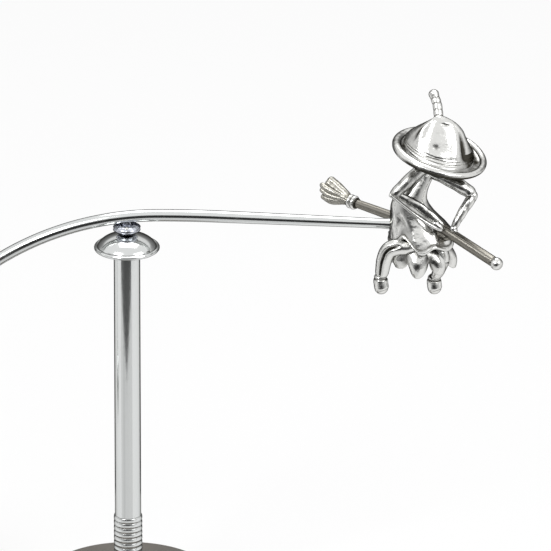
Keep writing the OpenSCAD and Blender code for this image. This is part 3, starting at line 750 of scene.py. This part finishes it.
# A painted shade on the ferrule between and beside its beads.
ferrule = grid_piece("broom_ferrule", witch_at + swept(
    stick_rear + s[:, None] * backward, np.minimum(beads, ends), sides=64),
    hollow=ease_in(2.1 - beads, 0, 0.1)[:, None])

# %% [markdown]
# One strand sits in the middle of the brush, six stand round it and twelve round those. Each
# strand's length, bend and wave follow from its number, so no two neighbours match and yet
# the brush comes out the same each time.

# %% Brush strands
STRAND_ROWS, THICK_STRAND = 60, 10
brush_side = unit(np.cross(backward, [0, 0, 1]))
brush_up = np.cross(brush_side, backward)
along = np.linspace(0, 1, STRAND_ROWS)
places = [(0.0, 0.0, 10.4)]
places += [(1.0, 60 * k + 15, 10.0 + (k * 37 % 17) / 12) for k in range(6)]
places += [(2.0, 30 * k, 9.2 + (k * 53 % 19) / 9) for k in range(12)]
strands = []
for k, (ring_at, turn_at, length) in enumerate(places):
    aim = math.radians(turn_at)
    out = math.cos(aim) * brush_side + math.sin(aim) * brush_up
    curl = (k * 29 % 7 - 3) / 3
    bends = [(0.6, 0.45 * ring_at, 0, 0), (3.4, 0.85 * ring_at, 0, 0),
             (8.0, 1.7 * ring_at + 0.2 * curl, 0.3 * curl, 0),
             (length + 1.4, 1.75 * ring_at - 0.2 * curl, 0, 0.4 + 0.4 * curl)]
    path = crowded([stick_rear + back * backward + away * out + side * brush_side + rise * brush_up
                    for back, away, side, rise in bends], STRAND_ROWS)
    path[:, 2] += 1.9 * along ** 1.2
    thick = 1.5 if k == THICK_STRAND else 1.0
    size = thick * np.linspace(0.75, 1.12, STRAND_ROWS)
    size = size * (1 + 0.08 * np.sin(np.linspace(0, 11 + curl, STRAND_ROWS) + k))
    # A painted shade over every strand, deeper towards the ferrule.
    strands.append(grid_piece(
        f"brush_strand_{k:02d}", witch_at + swept(path, rounded(path, size), sides=20),
        hollow=np.maximum(0.3, ease_in(1 - along, 0.55, 0.9))[:, None]))

# %% [markdown]
# ## What moves with what
# The base, the post and the cap stand still. The hub turns on the post, and the beam rocks
# in the hub and carries the witch and the ball with it. Each new piece names the part of
# the model that it stands for and the material slot that a repaint would look up.

# %% Bodies, replaced nodes and slots
families = [
    ("stand", "dark_base", [(base, "base_disc")]),
    ("stand", "polished_metal", [(post, "post_tube"), (collar, "ribbed_collar"), (cap, "dome_cap")]),
    ("swivel", "polished_metal", [(web, "pivot_hub"), (stem,), (cheeks[0],), (cheeks[1],)]),
    ("swivel", "plain_steel", [(pin, "cross_pin"), (heads[0],), (heads[1],)]),
    ("beam", "polished_metal", [
        (beam, "beam_rod"), (lug, "beam_lug"), (solder,), (ball, "counterweight_ball")]),
    ("beam", "cast_metal", [
        (dress, "dress"), (skirt, "underskirt"), (head, "head"), (neck,), (hat, "hat"), (rim,),
        (tip, "hat_tip"), (near_upper, "right_arm"), (near_fore,), (near_roll,), (near_hand,),
        (far_upper, "left_arm"), (far_fore,), (far_hand,), (near_leg, "right_leg"),
        (far_leg, "left_leg"), (near_boot, "right_boot"), (far_boot, "left_boot")]),
    ("beam", "broom_metal", [(broom_rear, "broom_handle"), (broom_front,)]),
    ("beam", "cast_metal", [
        (knob, "broom_knob"), (ferrule, "broom_ferrule"), (strands[0], "broom_bristles"),
        *[(strand,) for strand in strands[1:]]])]
rides = [(body, slot_name, piece, nodes)
         for body, slot_name, members in families for piece, *nodes in members]
for body, slot_name, piece, stands_for in rides:
    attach(piece, body)
    if stands_for:
        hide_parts(*stands_for)
print(len(rides), "pieces ride on", sorted({body for body, _, _, _ in rides}))

# %% [markdown]
# ## Effects that several finishes share
# Fine scratches, the small relief of a casting and the painted shade that sits in hollows are
# each one shader node group, built once. A group puts out a mask, a height or a colour, and
# each material decides how strongly to use it.

# %% Helpers for node trees
def node(tree, kind, links=None, **values):
    """A node of that kind, its attributes set from values and its inputs linked or set from links."""
    made = tree.nodes.new(kind)
    for key, value in values.items():
        setattr(made, key, value)
    for key, value in (links or {}).items():
        socket = made.inputs[key]
        if isinstance(value, bpy.types.NodeSocket):
            tree.links.new(value, socket)
        else:
            socket.default_value = value
    return made


def ramp(tree, factor, stops):
    """A colour ramp from (position, grey or colour) stops."""
    made = node(tree, "ShaderNodeValToRGB", {"Fac": factor})
    while len(made.color_ramp.elements) < len(stops):
        made.color_ramp.elements.new(0.5)
    for element, (position, tone) in zip(made.color_ramp.elements, stops):
        element.position = position
        element.color = (*tone, 1) if isinstance(tone, tuple) else (tone, tone, tone, 1)
    return made.outputs["Color"]


def calc(tree, operation, first, second, **values):
    """The value of one Math node."""
    return node(tree, "ShaderNodeMath", {0: first, 1: second}, operation=operation, **values).outputs[0]


def noise(tree, place, scale, detail, roughness=0.5, **values):
    """The value of a Noise Texture at a place."""
    sockets = {"Vector": place, "Scale": scale, "Detail": detail, "Roughness": roughness, **values}
    return node(tree, "ShaderNodeTexNoise", sockets).outputs["Fac"]


def own_place(tree):
    """A point's place in the piece's own coordinates, so that a pattern moves with the piece."""
    return node(tree, "ShaderNodeTexCoord").outputs["Object"]


def group(name, inputs, outputs):
    """An empty shader group with float inputs (name, default) and float outputs (name)."""
    tree = bpy.data.node_groups.new(name, "ShaderNodeTree")
    for word, default in inputs:
        socket = tree.interface.new_socket(word, in_out="INPUT", socket_type="NodeSocketFloat")
        socket.default_value = default
    for word in outputs:
        tree.interface.new_socket(word, in_out="OUTPUT", socket_type="NodeSocketFloat")
    return tree, tree.nodes.new("NodeGroupInput").outputs, tree.nodes.new("NodeGroupOutput").inputs


# %% Fine scratches
scratches, given, out = group("fine_scratches", [("Scale", 300.0), ("Long", 12.0)], ["Mask", "Height"])
place = own_place(scratches)
lines = []
for turn in ((0.3, 0.5, 0.2), (1.1, 0.2, 0.9), (0.7, 1.3, 0.4)):
    turned_place = node(scratches, "ShaderNodeMapping", {"Vector": place, "Rotation": turn})
    long = node(scratches, "ShaderNodeCombineXYZ", {"X": given["Long"], "Y": 1.0, "Z": given["Long"]})
    drawn_out = node(scratches, "ShaderNodeVectorMath", {0: turned_place.outputs[0], 1: long.outputs[0]},
                     operation="MULTIPLY")
    lines.append(noise(scratches, drawn_out.outputs[0], given["Scale"], 2.0))
total = calc(scratches, "MAXIMUM", calc(scratches, "MAXIMUM", lines[0], lines[1]), lines[2])
mask = ramp(scratches, total, [(0.66, 0.0), (0.78, 1.0)])
scratches.links.new(mask, out["Mask"])
scratches.links.new(calc(scratches, "MULTIPLY", mask, -1.0), out["Height"])

# %% Cast relief
casting, given, out = group("cast_relief", [("Scale", 220.0)], ["Height", "Grain"])
place = own_place(casting)
soft = noise(casting, place, given["Scale"], 2.0, 0.45)
fine = noise(casting, place, calc(casting, "MULTIPLY", given["Scale"], 6.0), 3.0, 0.6)
relief_sum = calc(casting, "ADD", soft, calc(casting, "MULTIPLY", fine, 0.12))
casting.links.new(relief_sum, out["Height"])
casting.links.new(fine, out["Grain"])

# %% Painted shade in hollows
painted_shade_group, given, out = group("painted_hollow_shade", [("Amount", 1.0), ("Scale", 160.0)], ["Mask"])
hollow = node(painted_shade_group, "ShaderNodeAttribute", attribute_name="hollow").outputs["Fac"]
patchy = noise(painted_shade_group, own_place(painted_shade_group), given["Scale"], 3.0)
spread = node(painted_shade_group, "ShaderNodeMapRange", {"Value": patchy, "From Min": 0.3, "From Max": 0.7,
                                             "To Min": 0.55, "To Max": 1.15}).outputs[0]
deep = calc(painted_shade_group, "MULTIPLY", calc(painted_shade_group, "MULTIPLY", hollow, spread), given["Amount"], use_clamp=True)
painted_shade_group.links.new(deep, out["Mask"])
print("groups:", [tree.name for tree in (scratches, casting, painted_shade_group)])

# %% [markdown]
# ## Polished metal
# Plated metal is a fully metallic surface whose roughness is low but never zero. What makes
# it look real is what spoils the mirror: hair scratches, and a thumb's width of haze.

# %% Polished metal
def surface(name):
    """A new material with its node tree and its Principled shader."""
    material = bpy.data.materials.new(name)
    material.use_nodes = True
    return material, material.node_tree, material.node_tree.nodes["Principled BSDF"]


def metal(name, colour, roughness, edge=(0.1, 0.095, 0.085)):
    """Metal of one colour. Plating darkens where it turns away from the eye, and edge is that tint."""
    material, tree, shader = surface(name)
    shader.inputs["Base Color"].default_value = (*colour, 1)
    shader.inputs["Metallic"].default_value = 1.0
    shader.inputs["Roughness"].default_value = roughness
    shader.inputs["Specular Tint"].default_value = (*edge, 1)
    return material, tree, shader


def put(tree, shader, colour=None, roughness=None, height=None, strength=0.0, distance=0.0):
    """Link a colour, a roughness and, through a Bump node, a height into the shader."""
    if colour is not None:
        tree.links.new(colour, shader.inputs["Base Color"])
    if roughness is not None:
        tree.links.new(roughness, shader.inputs["Roughness"])
    if height is not None:
        made = node(tree, "ShaderNodeBump", {"Height": height, "Strength": strength, "Distance": distance})
        tree.links.new(made.outputs[0], shader.inputs["Normal"])


def use(tree, which, **values):
    """The outputs of a shared group placed in a material with its own values."""
    made = node(tree, "ShaderNodeGroup", node_tree=which)
    for key, value in values.items():
        made.inputs[key].default_value = value
    return made.outputs


def blend_colour(tree, factor, first, second):
    """A colour between two, by a mask. Each may be a colour or a socket."""
    made = node(tree, "ShaderNodeMix", data_type="RGBA")
    tree.links.new(factor, made.inputs[0])
    for socket, value in ((made.inputs[6], first), (made.inputs[7], second)):
        if isinstance(value, bpy.types.NodeSocket):
            tree.links.new(value, socket)
        else:
            socket.default_value = (*value, 1)
    return made.outputs[2]


def grained(tree, grain, smooth, rough):
    """A roughness between two values, by the fine grain."""
    return ramp(tree, grain, [(0.35, smooth), (0.65, rough)])


plating = (0.70, 0.715, 0.71)
polished, tree, shader = metal("polished metal", plating, 0.10)
scratch = use(tree, scratches, Scale=260.0, Long=0.08)
haze = grained(tree, use(tree, casting, Scale=45.0)["Grain"], 0.10, 0.15)
# A painted shade darkens the collar's grooves towards (0.20, 0.20, 0.19).
shade_mask = use(tree, painted_shade_group, Amount=0.8, Scale=300.0)["Mask"]
rough = calc(tree, "ADD", calc(tree, "MULTIPLY", scratch["Mask"], 0.12), haze)
put(tree, shader, blend_colour(tree, shade_mask, plating, (0.20, 0.20, 0.19)), rough, scratch["Height"],
    strength=0.25, distance=0.00002)

# %% [markdown]
# ## Cast metal
# The witch is cast and tumbled, so she is shiny on every crest and rougher in the folds, where
# a painted shade also darkens her, and she has the soft unevenness of a wax model under the
# shine. The small castings at the pivot have the same make with a colder plating, and the brush
# was left dull, so one recipe serves all three: a grain and a relief from the shared casting, and a painted
# shade in the hollows.

# %% Three cast finishes
def cast_finish(made, relief_scale, shade_scale, amount, tones, roughness, strength, distance,
                dulling=0.0):
    """Roughness = grain + dulling * shade mask, and where the painted shade lies the colour goes from
    tones[0] towards tones[1].
    """
    material, tree, shader = made
    relief_out = use(tree, casting, Scale=relief_scale)
    shade_mask = use(tree, painted_shade_group, Amount=amount, Scale=shade_scale)["Mask"]
    rough = grained(tree, relief_out["Grain"], *roughness)
    if dulling:
        rough = calc(tree, "ADD", calc(tree, "MULTIPLY", shade_mask, dulling), rough)
    put(tree, shader, blend_colour(tree, shade_mask, *tones), rough, relief_out["Height"], strength, distance)
    return material


pivot_metal = cast_finish(
    metal("pivot metal", (0.52, 0.54, 0.60), 0.16), relief_scale=420.0, shade_scale=600.0, amount=0.9,
    tones=((0.58, 0.60, 0.66), (0.12, 0.13, 0.18)), roughness=(0.10, 0.24), strength=0.6, distance=0.0005)
cast_metal = cast_finish(
    metal("cast metal", (0.70, 0.70, 0.68), 0.2, edge=(0.05, 0.045, 0.035)),
    relief_scale=230.0, shade_scale=260.0, amount=1.35, tones=((0.74, 0.74, 0.72), (0.06, 0.057, 0.048)),
    roughness=(0.13, 0.22), strength=0.55, distance=0.0006, dulling=0.22)
brush_metal = cast_finish(
    metal("brush metal", (0.50, 0.49, 0.45), 0.32), relief_scale=520.0, shade_scale=500.0, amount=1.0,
    tones=((0.50, 0.49, 0.45), (0.14, 0.13, 0.10)), roughness=(0.24, 0.40), strength=0.7, distance=0.0005)

# %% [markdown]
# ## Broomstick metal
# Drawn wire carries the lines of the die along its length. A noise that changes some sixty
# times round the stick and hardly along it gives those lines. They set the tone, the
# roughness and the small relief together, because on the real stick each is one groove.

# %% Broomstick metal
broom_metal, tree, shader = metal("broomstick metal", (0.40, 0.38, 0.35), 0.3)
along = node(tree, "ShaderNodeUVMap", uv_map="along").outputs[0]
stretched = node(tree, "ShaderNodeMapping", {"Vector": along, "Scale": (60.0, 1.5, 1.0)}).outputs[0]
brushed = noise(tree, stretched, 1.0, 3.0)
tone = ramp(tree, brushed, [(0.3, (0.17, 0.16, 0.14)), (0.7, (0.36, 0.345, 0.31))])
# A painted shade darkens the stick's grooves towards (0.10, 0.095, 0.08).
shade_mask = use(tree, painted_shade_group, Amount=0.9, Scale=400.0)["Mask"]
put(tree, shader, blend_colour(tree, shade_mask, tone, (0.10, 0.095, 0.08)),
    ramp(tree, brushed, [(0.3, 0.36), (0.7, 0.24)]), brushed, 0.4, 0.0001)

# %% [markdown]
# ## The dark base and the small hidden parts
# The base is turned and painted a dark, warm grey. Faint rings from the turning tool run
# round it, and the paint is a little cloudy. The screw, the pin, the bush and the felt pad
# each get a plain finish of their own.

# %% Base paint
base_paint, tree, shader = surface("base paint")
shader.inputs["Metallic"].default_value = 0.35
shader.inputs["Coat Roughness"].default_value = 0.2
place = own_place(tree)
cut = node(tree, "ShaderNodeTexWave", {"Vector": place, "Scale": 900.0, "Distortion": 0.4, "Detail": 2.0},
           wave_type="RINGS", rings_direction="Z", wave_profile="SIN").outputs["Fac"]
speck = noise(tree, place, 1800.0, 3.0, 0.6)
mixed = calc(tree, "MULTIPLY", calc(tree, "ADD", speck, noise(tree, place, 60.0, 3.0)), 0.5)
put(tree, shader, ramp(tree, mixed, [(0.35, (0.120, 0.108, 0.094)), (0.65, (0.175, 0.160, 0.142))]),
    ramp(tree, speck, [(0.3, 0.34), (0.7, 0.46)]),
    calc(tree, "ADD", calc(tree, "MULTIPLY", cut, 0.5), speck), 0.15, 0.0001)

# %% Steel, bronze and felt
steel, tree, shader = metal("plain steel", (0.56, 0.56, 0.55), 0.28)
scratch = use(tree, scratches, Scale=500.0, Long=0.1)
put(tree, shader, roughness=ramp(tree, scratch["Mask"], [(0.0, 0.24), (1.0, 0.42)]),
    height=scratch["Height"], strength=0.4, distance=0.00003)
bronze, tree, shader = metal("bearing bronze", (0.60, 0.40, 0.20), 0.32)
cast = use(tree, casting, Scale=900.0)
put(tree, shader, blend_colour(tree, cast["Grain"], (0.44, 0.27, 0.12), (0.70, 0.48, 0.26)),
    height=cast["Height"], strength=0.3, distance=0.00008)
felt, tree, shader = surface("felt")
shader.inputs["Roughness"].default_value = 0.95
shader.inputs["Sheen Weight"].default_value = 0.4
fibre = noise(tree, own_place(tree), 2500.0, 5.0, 0.8, Distortion=1.5)
put(tree, shader, ramp(tree, fibre, [(0.3, (0.012, 0.012, 0.013)), (0.75, (0.07, 0.07, 0.072))]),
    height=fibre, strength=0.8, distance=0.0003)

# %% [markdown]
# Two kinds of piece differ from their slot's usual finish: the brush strands, and the small
# castings at the pivot. The nodes that keep their own shape get their finish here too.

# %% Finishes put on
own_finish = {piece.name: brush_metal for piece in strands}
own_finish.update({piece.name: pivot_metal for piece in [*cheeks, web, stem, lug]})
finish = {"polished_metal": polished, "cast_metal": cast_metal, "broom_metal": broom_metal,
          "dark_base": base_paint, "plain_steel": steel, "bearing_bronze": bronze, "felt": felt}
for body, slot_name, piece, stands_for in rides:
    piece.data.materials.append(own_finish.get(piece.name, finish[slot_name]))
kept = {"felt_pad": felt, "counterweight_screw": steel, "thrust_ball": steel, "pivot_bush": bronze,
        "post_plug": steel, "base_washer": steel, "base_screw": steel}
for name, material in kept.items():
    for slot in frame["nodes"][name].material_slots:
        slot.material = material
print("finishes:", {material.name: material.users for material in finish.values()})

# %% [markdown]
# ## A white room for polished metal
# A mirror has no colour of its own, so the room is as much a part of the finish as the
# shader. The floor and the world are white to the camera and to mirrors. Dark cards that
# only mirrors can see draw the dark lines down the post and along the beam, as black card
# beside a polished thing does on a studio table.

# %% Floor and world
def cleared(owner):
    """The empty node tree of a material or a world."""
    owner.use_nodes = True
    owner.node_tree.nodes.clear()
    return owner.node_tree


def looked_at(tree):
    """1 where a ray comes from the camera, a mirror or glass, and 0 for rays that carry light."""
    rays = node(tree, "ShaderNodeLightPath").outputs
    seen = calc(tree, "MAXIMUM", rays["Is Camera Ray"], rays["Is Glossy Ray"])
    return calc(tree, "MAXIMUM", seen, rays["Is Transmission Ray"])


def room_sheet(name, points, faces, material):
    """A thin sheet that belongs to the room."""
    mesh = bpy.data.meshes.new(name)
    mesh.from_pydata(points, [], faces)
    mesh.materials.append(material)
    sheet = bpy.data.objects.new(name, mesh)
    bpy.context.scene.collection.objects.link(sheet)
    return sheet


floor_paint = bpy.data.materials.new("floor")
tree = cleared(floor_paint)
matt = node(tree, "ShaderNodeBsdfDiffuse", {"Color": (0.86, 0.86, 0.86, 1)})
white = node(tree, "ShaderNodeEmission", {"Color": (1, 1, 1, 1), "Strength": 1.0})
both = node(tree, "ShaderNodeMixShader", {
    0: calc(tree, "MULTIPLY", looked_at(tree), 0.72), 1: matt.outputs[0], 2: white.outputs[0]})
node(tree, "ShaderNodeOutputMaterial", {"Surface": both.outputs[0]})
half_floor = 9
room_sheet("floor", [(x * half_floor, y * half_floor, 0) for x, y in ((-1, -1), (1, -1), (1, 1), (-1, 1))],
           [(0, 1, 2, 3)], floor_paint)

world = bpy.data.worlds.new("white room")
bpy.context.scene.world = world
tree = cleared(world)
soft = node(tree, "ShaderNodeBackground", {"Color": (0.9, 0.9, 0.9, 1), "Strength": 0.55})
plain = node(tree, "ShaderNodeBackground", {"Color": (1, 1, 1, 1), "Strength": 1.0})
both = node(tree, "ShaderNodeMixShader", {0: looked_at(tree), 1: soft.outputs[0], 2: plain.outputs[0]})
node(tree, "ShaderNodeOutputWorld", {"Surface": both.outputs[0]})

# %% [markdown]
# The cards lie and stand where a mirror on the table looks. In front, dark cards on the floor
# and a dark wall give the figure and the post their dark lines, and the wall gets paler to
# the sides, so that no line ends sharply. Close to the toy the cards are only a little grey,
# because the undersides see them. A low card and a wall behind do the same for the back.

# %% Cards
COMPASS_STEPS = 40
card_paint = bpy.data.materials.new("card")
tree = cleared(card_paint)
tone = node(tree, "ShaderNodeAttribute", attribute_name="grey")
glow = node(tree, "ShaderNodeEmission", {"Strength": tone.outputs["Fac"]})
node(tree, "ShaderNodeOutputMaterial", {"Surface": glow.outputs[0]})


def card(name, grid, grey):
    """A card that only mirrors see: it casts no shadow and lights nothing. grey may change over it."""
    rows, cols, _ = grid.shape
    index = np.arange(rows * cols).reshape(rows, cols)
    quads = np.stack([index[:-1, :-1], index[:-1, 1:], index[1:, 1:], index[1:, :-1]], -1).reshape(-1, 4)
    sheet = room_sheet("card_" + name, grid.reshape(-1, 3).tolist(), quads.tolist(), card_paint)
    shade = np.broadcast_to(grey, (rows, cols)).astype(np.float32).ravel()
    sheet.data.attributes.new("grey", "FLOAT", "POINT").data.foreach_set("value", shade)
    sheet.visible_camera = sheet.visible_diffuse = sheet.visible_shadow = False
    sheet.visible_transmission = sheet.visible_volume_scatter = False


def compass(start, end):
    """Angles round the table in degrees: 0 is straight in front and 90 is to the right."""
    return np.linspace(start, end, COMPASS_STEPS)


def by_compass(value, start, end):
    """A number for every compass angle, from a plain number or from a function of the angle."""
    return value(compass(start, end)) if callable(value) else np.full(COMPASS_STEPS, value)


def on_table(r, turn, z):
    """(r sin turn, -r cos turn, z): places by their compass angle round the toy."""
    return np.stack([r * np.sin(turn) + 0 * z, -r * np.cos(turn) + 0 * z, z + 0 * turn], -1)


def wall(name, start, end, radius, high, grey):
    """A curved upright card that fades by 0.7 of the way to white towards its upper edge."""
    turn = np.radians(compass(start, end))[None, :]
    z = high * np.array([0, 0.4, 0.75, 0.9, 1.0])[:, None]
    grey = by_compass(grey, start, end)
    tone = grey + (1 - grey) * 0.7 * np.array([0, 0, 0.05, 0.4, 1.0])[:, None]
    card(name, on_table(radius, turn, z), tone)


def ground(name, start, end, near, far, grey):
    """A card just over the floor between two distances."""
    turn = np.radians(compass(start, end))
    r = np.stack([by_compass(near, start, end), by_compass(far, start, end)])
    card(name, on_table(r, turn, 0 * r + 0.001), by_compass(grey, start, end))


def shore(turn):
    """Where the dark floor begins: at 0.25 m, and 0.15 |(turn + 6) / 42|^1.4 m further out at the sides."""
    return 0.25 + 0.15 * np.abs((turn + 6) / 42) ** 1.4


def front_grey(turn):
    """0.03 straight in front, rising to 0.65 at the sides."""
    return 0.03 + 0.62 * ease_in(np.abs(turn + 3), 12, 64)


def back_grey(turn):
    """0.28 straight behind, rising to 0.88 at the sides."""
    return 0.28 + 0.6 * ease_in(np.abs(turn - 177), 45, 81)


ground("front_floor", -52, 36, shore, 0.5, 0.11)
ground("front_far", -80, 74, 0.5, 1.3, front_grey)
wall("front", -80, 74, 1.3, 0.74, front_grey)
for word, start, end, near, grey in (("wide", -56, -38, 0.02, 0.80), ("middle", -38, -22, 0.03, 0.70),
                                     ("under", -22, 8, 0.03, 0.78), ("right", 8, 22, 0.03, 0.80),
                                     ("edge", 22, 42, 0.02, 0.80)):
    ground("front_" + word, start, end, near, shore, grey)
ground("back_floor", 130, 228, 0.10, 1.2, 0.15)
wall("back", 96, 258, 1.2, 0.8, back_grey)

# %% [markdown]
# Three large area lamps stand above the left shoulder, to the right and overhead. They put
# the soft highlights on the crests and a faint shadow under the base.

# %% Lamps
for name, where, size, power, aim in (("key", (-0.7, -0.9, 1.1), 0.6, 9, (0.04, 0, 0.13)),
                                      ("fill", (0.9, -0.7, 0.8), 0.7, 5, (0.06, 0, 0.13)),
                                      ("top", (0.1, 0.5, 1.3), 0.8, 7, (0.05, 0, 0.12))):
    lamp = bpy.data.lights.new(name, "AREA")
    lamp.size, lamp.energy = size, power
    holder = bpy.data.objects.new("lamp_" + name, lamp)
    bpy.context.scene.collection.objects.link(holder)
    holder.location = where
    away = np.array(where) - np.array(aim)
    holder.rotation_euler = (math.acos(away[2] / np.linalg.norm(away)), 0, math.atan2(away[0], -away[1]))

# %% [markdown]
# ## The camera
# The camera looks from a little above, with a long lens, as a catalogue picture is taken:
# a long lens keeps upright things upright and doesn't swell what is nearest.

# %% Camera
target, distance, raised = np.array([0.0533, 0, 0.1285]), 5.0, math.radians(22)
lens_per_metre = 182.0
camera = bpy.data.objects.new("camera", bpy.data.cameras.new("camera"))
camera.data.sensor_width, camera.data.lens = 36, lens_per_metre * distance
camera.location = target + distance * np.array([0, -math.cos(raised), math.sin(raised)])
camera.rotation_euler = (math.pi / 2 - raised, 0, 0)
bpy.context.scene.collection.objects.link(camera)
bpy.context.scene.camera = camera
bpy.context.scene.view_settings.view_transform = "Standard"
